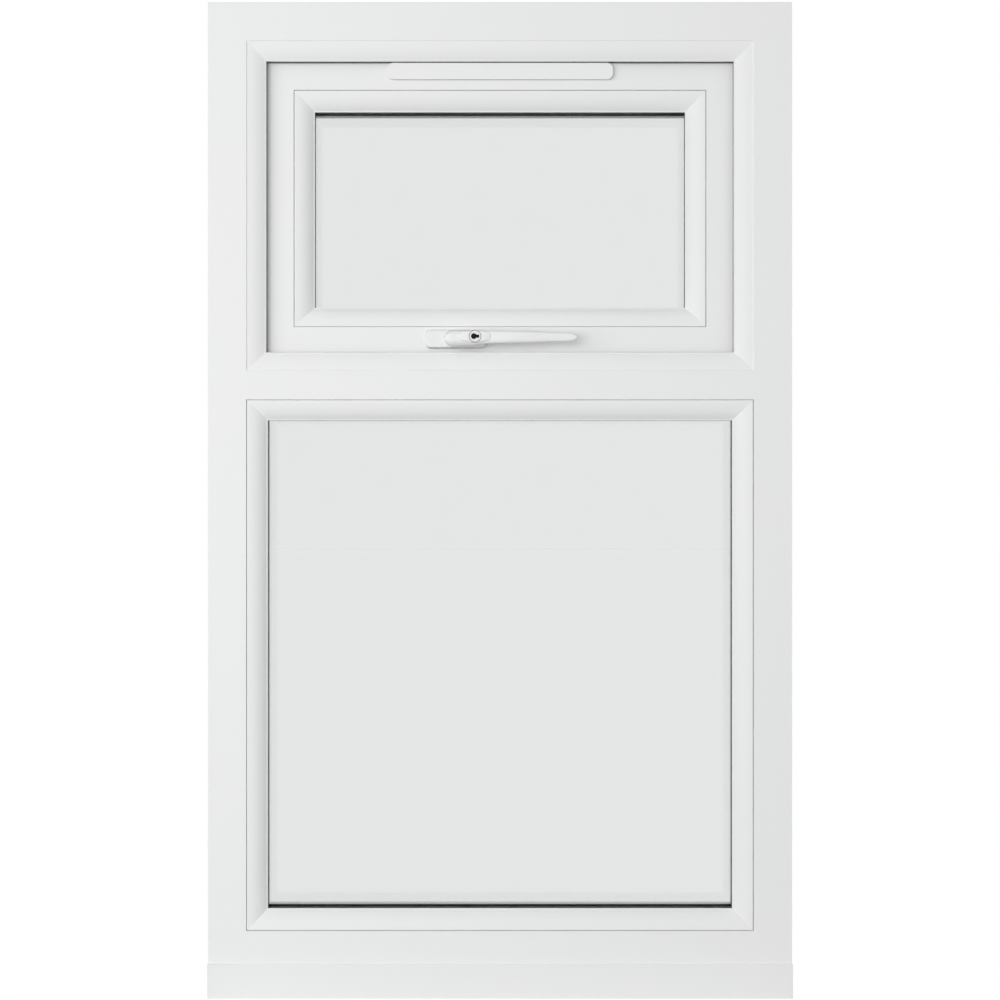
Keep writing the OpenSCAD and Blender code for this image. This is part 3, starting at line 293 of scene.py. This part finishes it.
def spacer_metal():
    """Bright spacer bar with a row of fine breathing holes, drawn as near-black dots of painted shade
    for the hollow behind them.
    """
    material, tree, bsdf = shader("spacer_metal")
    holes = add(tree, "TexVoronoi", Scale=1.0, Randomness=0.0)
    tree.links.new(stretched(tree, (220.0, 220.0, 220.0)), holes.inputs["Vector"])
    dots = add(tree, "MapRange", From_Min=0.10, From_Max=0.16)
    tree.links.new(holes.outputs["Distance"], dots.inputs["Value"])
    brushed = noise(tree, (500.0, 30.0, 30.0))
    # The breathing holes are painted near-black as the shade inside them
    colour(tree, bsdf, dots.outputs["Result"], PAINTED_HOLE_SHADE, ALUMINIUM)
    roughness(tree, bsdf, brushed, 0.25, 0.4)
    bsdf.inputs["Metallic"].default_value = 1.0
    relief(tree, bsdf, [(dots.outputs["Result"], 0.1 * MM)])
    return material


def plated():
    """Zinc-plated steel with a crystalline spangle and fine scratches."""
    material, tree, bsdf = shader("zinc_plate")
    spangle = add(tree, "TexVoronoi", Scale=1.0)
    tree.links.new(stretched(tree, (350.0, 350.0, 350.0)), spangle.inputs["Vector"])
    crystal = add(tree, "SeparateColor")
    tree.links.new(spangle.outputs["Color"], crystal.inputs["Color"])
    scratches = noise(tree, (2500.0, 200.0, 200.0))
    colour(tree, bsdf, crystal.outputs["Red"], ZINC_DARK, ZINC)
    roughness(tree, bsdf, crystal.outputs["Green"], 0.28, 0.42)
    bsdf.inputs["Metallic"].default_value = 1.0
    relief(tree, bsdf, [(scratches, 0.004 * MM)], edge=0.3 * MM)
    return material


def chromed():
    """Polished plating with hairline turning marks."""
    material, tree, bsdf = shader("polished_plate")
    gloss = noise(tree, 900.0)
    marks = noise(tree, (3000.0, 300.0, 300.0))
    bsdf.inputs["Base Color"].default_value = (*CHROME, 1)
    bsdf.inputs["Metallic"].default_value = 1.0
    roughness(tree, bsdf, gloss, 0.10, 0.20)
    relief(tree, bsdf, [(marks, 0.003 * MM)], edge=0.3 * MM)
    return material


def painted_shade_material():
    """Near-black painted shade down the keyway and on the walls and floor of the gap round the key
    cylinder; its two tones drift at random.
    """
    material, tree, bsdf = shader("painted_shade_keyway")
    drift = noise(tree, 900.0)
    gloss = noise(tree, 400.0)
    colour(tree, bsdf, drift, PAINTED_SHADE_LOW, PAINTED_SHADE_HIGH)
    roughness(tree, bsdf, gloss, 0.45, 0.7)
    bsdf.inputs["Specular IOR Level"].default_value = 0.2
    return material


def dress(material, names):
    """Gives CAD nodes a material."""
    for name in names:
        slots = frame["nodes"][name].data.materials
        slots.clear()
        slots.append(material)


# Handle lever: the round hub over the spindle, the blade that runs out from it, and its tip
HUB_HALF = 8.3 * MM
HUB_ROUND = 10 * MM
HUB_FALL = 6 * MM
HUB_DROP = 0.8 * MM
HUB_BEHIND_KEY = 3 * MM
HUB_CLEARANCE = 0.2 * MM
NECK_R = 6.5 * MM
NECK_OVERLAP = 3 * MM
WAIST = 24 * MM
CREST = 60 * MM
BLADE_HALF = 6.6 * MM
BLADE_DROP = 0.4 * MM
BLADE_DEEP = 4 * MM
BLADE_THICK = 11 * MM
BACK_FROM = 16 * MM
TAPER_FROM = 0.4
TIP_HALF = 4.2 * MM
TIP_ROUND = 9 * MM
TIP_FALL = 4 * MM
TIP_LIFT = 3 * MM
OVAL_POWER = 0.7
END_FLOOR = 0.0009
STATIONS = 140
ROUND_SIDES = 80
CIRCLE_POINTS = 64
SHARP_ANGLE = math.radians(38)

# Pad round the key cylinder
PAD_HALF = (16.3 * MM, 6.5 * MM)
PAD_END_R = 4.6 * MM
PAD_BELOW_KEY = 0.6 * MM
PAD_ROOT = 9 * MM
PAD_BEVEL = 0.5 * MM
PAD_POINTS = 24

# Bore of the key cylinder, with a wider gap at its mouth
BORE_CLEARANCE = 0.05 * MM
BORE_BEFORE = 5 * MM
KEY_RING = 0.4 * MM
KEY_RING_DEEP = 2.5 * MM
GAP_SLACK = 0.01 * MM
GAP_BELOW = 0.2 * MM
WALL_TILT = 0.5

# Keyway: its round hole, the slot beside it, and where the wafers start and end
KEYWAY_HOLE = 3.0 * MM
KEYWAY_OFF = 1.2 * MM
SLOT_HALF = 1.6 * MM
SLOT_END = 4.3 * MM
WAFER_SHARE = 0.985
WAFERS_DOWN = 2.0 * MM
WAFERS_BEFORE_END = 3.2 * MM
KEYWAY_POINTS = 40


def ease(t):
    """Smooth step from 0 to 1."""
    c = min(max(t, 0.0), 1.0)
    return c * c * (3 - 2 * c)


def blend(a, b, t):
    """Smooth change from a to b."""
    return a + (b - a) * ease(t)


def round_end(x, end, r):
    """Share of the full section near a round end."""
    g = min(max(abs(end - x) / r, 0.0), 1.0)
    return math.sqrt(max(END_FLOOR, 1 - (1 - g) ** 2))


def squircle(turn):
    """Point of an oval with flattened sides, at a turn round it."""
    c, s = math.cos(turn), math.sin(turn)
    return (math.copysign(abs(c) ** OVAL_POWER, c), math.copysign(abs(s) ** OVAL_POWER, s))


def lever_outline(x, hub_end, reach, hub_front, hub_back):
    """Front, back, half height and middle height of the lever at x from the spindle."""
    late = ease((x / reach - TAPER_FROM) / (1 - TAPER_FROM))
    blade_front = hub_front - BLADE_DEEP
    front = blend(hub_front, blade_front, (x - hub_end) / CREST)
    front += HUB_FALL * (1 - round_end(x, -hub_end, HUB_ROUND)) + TIP_FALL * late
    back = blend(hub_back, blade_front + BLADE_THICK, (x - BACK_FROM) / BACK_FROM) - TIP_LIFT * late
    half = min(round_end(x, -hub_end, HUB_ROUND), round_end(x, reach, TIP_ROUND))
    if x < reach * TAPER_FROM:
        half *= blend(HUB_HALF, BLADE_HALF, (x - hub_end) / WAIST)
    else:
        half *= blend(BLADE_HALF, TIP_HALF, (x / reach - TAPER_FROM) / (1 - TAPER_FROM))
    return front, back, half, -blend(HUB_DROP, BLADE_DROP, (x - hub_end) / WAIST)


def mesh_object(name, mesh):
    """An object of the scene that shows a mesh."""
    obj = bpy.data.objects.new(name, mesh)
    scene.collection.objects.link(obj)
    return obj


def loft(name, rings):
    """Closed body through rings of points."""
    work = bmesh.new()
    loops = [[work.verts.new(p) for p in ring] for ring in rings]
    count = len(rings[0])
    for a, b in zip(loops, loops[1:]):
        for k in range(count):
            work.faces.new((a[k], a[(k + 1) % count], b[(k + 1) % count], b[k]))
    work.faces.new(loops[0][::-1])
    work.faces.new(loops[-1])
    bmesh.ops.recalc_face_normals(work, faces=work.faces)
    mesh = bpy.data.meshes.new(name)
    work.to_mesh(mesh)
    work.free()
    return mesh_object(name, mesh)


def cut(body, tool, operation):
    """Joins or cuts body with tool for good, and removes tool."""
    step = body.modifiers.new(operation, "BOOLEAN")
    step.operation = operation
    step.object = tool
    step.solver = "EXACT"
    done = body.evaluated_get(bpy.context.evaluated_depsgraph_get())
    mesh = bpy.data.meshes.new_from_object(done)
    body.modifiers.clear()
    old = body.data
    body.data = mesh
    bpy.data.meshes.remove(old)
    bpy.data.objects.remove(tool)


def tube(name, centre, r, front, back):
    """Round body along the depth of the window."""
    turns = [2 * math.pi * k / CIRCLE_POINTS for k in range(CIRCLE_POINTS)]
    outline = [(centre.x + r * math.cos(t), centre.z + r * math.sin(t)) for t in turns]
    return loft(name, [[(x, y, z) for x, z in outline] for y in (front, back)])


def lever_blank(spindle, low, high, hub_front, hub_back):
    """The lever's hub, blade and tip in one smooth body, without pad and bore."""
    hub_end = spindle.x - low.x
    reach = high.x - spindle.x
    rings = []
    for i in range(STATIONS + 1):
        x = -hub_end + (hub_end + reach) * (1 - math.cos(math.pi * i / STATIONS)) / 2
        front, back, half, mid = lever_outline(x, hub_end, reach, hub_front, hub_back)
        middle, thick = (front + back) / 2, (back - front) / 2
        ring = []
        for k in range(ROUND_SIDES):
            c, s = squircle(2 * math.pi * k / ROUND_SIDES)
            ring.append((spindle.x + x, middle + thick * c, spindle.z + mid + half * s))
        rings.append(ring)
    return loft("lever", rings)


def in_gap(face, key, key_front, ring_r):
    """Whether a face of the lever is a wall or the floor of the gap round the key cylinder."""
    off = math.hypot(face.center.x - key.x, face.center.z - key.z)
    deep = face.center.y - key_front
    if off >= ring_r + GAP_SLACK or deep >= KEY_RING_DEEP + GAP_BELOW:
        return False
    return abs(face.normal.y) < WALL_TILT or deep > KEY_RING_DEEP / 2


def lever(material, gap):
    """The lever as one smooth body, with its pad and the bore of the key cylinder, whose gap walls and
    floor take near-black painted shade.
    """
    low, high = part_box("handle_lever")
    spindle = Vector(joint["handle_turn"]["pos_m"])
    key_low, key_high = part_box("key_cylinder")
    key = (key_low + key_high) / 2
    base_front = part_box("handle_cover")[0].y
    body = lever_blank(spindle, low, high, key_low.y + HUB_BEHIND_KEY, base_front - HUB_CLEARANCE)
    cut(body, pad("lever_pad", key, key_low.y), "UNION")
    bore_r = (key_high.x - key_low.x) / 2 + BORE_CLEARANCE
    ring_r = bore_r + KEY_RING
    before = key_low.y - BORE_BEFORE
    cut(body, tube("bore", key, bore_r, before, key_high.y), "DIFFERENCE")
    cut(body, tube("key_ring", key, ring_r, before, key_low.y + KEY_RING_DEEP), "DIFFERENCE")
    cut(body, tube("neck", spindle, NECK_R, base_front - NECK_OVERLAP, high.y), "UNION")
    body.data.shade_smooth()
    body.data.set_sharp_from_angle(angle=SHARP_ANGLE)
    body.data.materials.clear()
    body.data.materials.append(material)
    body.data.materials.append(gap)
    # The walls and floor of the gap round the key cylinder are painted near-black as shade
    for face in body.data.polygons:
        if in_gap(face, key, key_low.y, ring_r):
            face.material_index = 1
    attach(body, "handle")
    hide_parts("handle_lever")


def pad_outline():
    """Two end arcs and the two larger arcs round the key between them."""
    length, height = PAD_HALF
    off = length - PAD_END_R
    lean = math.acos((height - PAD_END_R) / off)
    arcs = [(off, 0.0, PAD_END_R, -lean, lean), (0.0, 0.0, height, lean, math.pi - lean),
            (-off, 0.0, PAD_END_R, math.pi - lean, math.pi + lean),
            (0.0, 0.0, height, math.pi + lean, 2 * math.pi - lean)]
    points = []
    for x, z, r, first, last in arcs:
        for k in range(PAD_POINTS):
            t = first + (last - first) * k / (PAD_POINTS - 1)
            points.append((x + r * math.cos(t), z + r * math.sin(t)))
    return points


def pad(name, key, key_front):
    """Pad around the key cylinder, narrower at both round ends, with a bevelled edge."""
    front = key_front + PAD_BELOW_KEY
    levels = [(front + PAD_ROOT, 1.0), (front + PAD_BEVEL, 1.0), (front, 1 - PAD_BEVEL / PAD_HALF[1])]
    outline = pad_outline()
    rings = [[(key.x + x * share, y, key.z + z * share) for x, z in outline] for y, share in levels]
    return loft(name, rings)


def keyway(material):
    """Wafers down in the keyway, in the outline of its round hole and slot, coloured near-black as
    painted shade for the depth of the keyway.
    """
    key_low, key_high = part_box("key_cylinder")
    key = (key_low + key_high) / 2
    start = math.asin(SLOT_HALF / KEYWAY_HOLE)
    sweep = 2 * math.pi - 2 * start
    turns = [start + sweep * k / KEYWAY_POINTS for k in range(KEYWAY_POINTS + 1)]
    outline = [(KEYWAY_HOLE * math.cos(t) - KEYWAY_OFF, KEYWAY_HOLE * math.sin(t)) for t in turns]
    outline += [(SLOT_END, -SLOT_HALF), (SLOT_END, SLOT_HALF)]
    rings = [[(key.x + x * WAFER_SHARE, y, key.z + z * WAFER_SHARE) for x, z in outline]
             for y in (key_low.y + WAFERS_DOWN, key_high.y - WAFERS_BEFORE_END)]
    piece = loft("keyway_wafers", rings)
    # The wafers are real, but their near-black colour is painted shade for the depth of the keyway
    piece.data.materials.append(material)
    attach(piece, "key")


# Stage

def white_ray(tree):
    """One where the camera sees the backdrop, straight, mirrored or through glass."""
    path = add(tree, "LightPath")
    total = path.outputs["Is Camera Ray"]
    for name in ("Is Glossy Ray", "Is Transmission Ray"):
        either = add(tree, "Math", operation="MAXIMUM")
        tree.links.new(total, either.inputs[0])
        tree.links.new(path.outputs[name], either.inputs[1])
        total = either.outputs["Value"]
    return total


def backdrop():
    """White backdrop for the eye, and an even pale light on the object."""
    world = bpy.data.worlds.new("backdrop")
    scene.world = world
    world.use_nodes = True
    tree = world.node_tree
    tree.nodes.clear()
    soft = add(tree, "Background", Color=(*DAYLIGHT, 1), Strength=AMBIENT)
    white = add(tree, "Background", Color=(1, 1, 1, 1), Strength=1.0)
    mix = add(tree, "MixShader")
    out = add(tree, "OutputWorld")
    tree.links.new(white_ray(tree), mix.inputs["Fac"])
    tree.links.new(soft.outputs[0], mix.inputs[1])
    tree.links.new(white.outputs[0], mix.inputs[2])
    tree.links.new(mix.outputs[0], out.inputs["Surface"])


def floor():
    """Pale floor that takes the shadow and runs into the backdrop."""
    half = FLOOR_SIZE / 2
    z = cad_bounds[0][2]
    mesh = bpy.data.meshes.new("floor")
    corners = [(-half, -half, z), (half, -half, z), (half, half, z), (-half, half, z)]
    mesh.from_pydata(corners, [], [(0, 1, 2, 3)])
    plane = mesh_object("floor", mesh)
    material = bpy.data.materials.new("pale_floor")
    material.use_nodes = True
    tree = material.node_tree
    tree.nodes.clear()
    plain = add(tree, "BsdfDiffuse", Color=(FLOOR_PALE, FLOOR_PALE, FLOOR_PALE, 1))
    shade = add(tree, "BsdfDiffuse", Color=(FLOOR_SHADE, FLOOR_SHADE, FLOOR_SHADE, 1))
    glow = add(tree, "Emission", Strength=FLOOR_GLOW)
    both = add(tree, "AddShader")
    mix = add(tree, "MixShader")
    out = add(tree, "OutputMaterial")
    tree.links.new(shade.outputs[0], both.inputs[0])
    tree.links.new(glow.outputs[0], both.inputs[1])
    tree.links.new(white_ray(tree), mix.inputs["Fac"])
    tree.links.new(plain.outputs[0], mix.inputs[1])
    tree.links.new(both.outputs[0], mix.inputs[2])
    tree.links.new(mix.outputs[0], out.inputs["Surface"])
    mesh.materials.append(material)
    return plane


def lamp(name, place, size, power, target):
    """Soft lamp that lights the surfaces, and isn't itself seen, mirrored or looked at through glass."""
    data = bpy.data.lights.new(name, "AREA")
    data.size = size
    data.energy = power
    obj = bpy.data.objects.new(name, data)
    scene.collection.objects.link(obj)
    obj.visible_camera = False
    obj.visible_glossy = False
    obj.visible_transmission = False
    obj.location = place
    obj.rotation_euler = (Vector(target) - Vector(place)).to_track_quat("-Z", "Y").to_euler()
    return obj


def keep_off(light, piece):
    """Keeps the light of one lamp off one piece."""
    skipped = bpy.data.collections.new(light.name + "_skips")
    skipped.objects.link(piece)
    skipped.collection_objects[0].light_linking.link_state = "EXCLUDE"
    light.light_linking.receiver_collection = skipped


def camera(middle):
    """Level camera in the room, at the height of the window's middle."""
    data = bpy.data.cameras.new("camera")
    data.sensor_width = SENSOR
    data.lens = LENS
    data.dof.use_dof = False
    obj = bpy.data.objects.new("camera", data)
    scene.collection.objects.link(obj)
    obj.location = (middle.x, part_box("frame_head")[0].y - EYE_DISTANCE, middle.z)
    obj.rotation_euler = (math.radians(90), 0, 0)
    scene.camera = obj


scene.view_settings.view_transform = "Standard"
low, high = Vector(cad_bounds[0]), Vector(cad_bounds[1])
centre = (low + high) / 2
camera(centre)
backdrop()
ground = floor()
for name, (place, size, power) in LAMPS.items():
    keep_off(lamp(name, place, size, power, centre), ground)

dress(extruded("plastic_upright", "z"), UPRIGHT)
dress(extruded("plastic_level", "x"), LEVEL)
dress(moulded(), MOULDED)
paint = coated()
dress(paint, COATED)
dress(rubber(), RUBBER)
dress(packer_plastic(), PACKERS)
dress(pane_glass(), PANES)
dress(spacer_metal(), SPACERS)
dress(plated(), PLATED)
dress(chromed(), ["key_cylinder"])
# Near-black painted shade for the keyway wafers and the gap round the key cylinder
keyway_shade_paint = painted_shade_material()
lever(paint, keyway_shade_paint)
keyway(keyway_shade_paint)
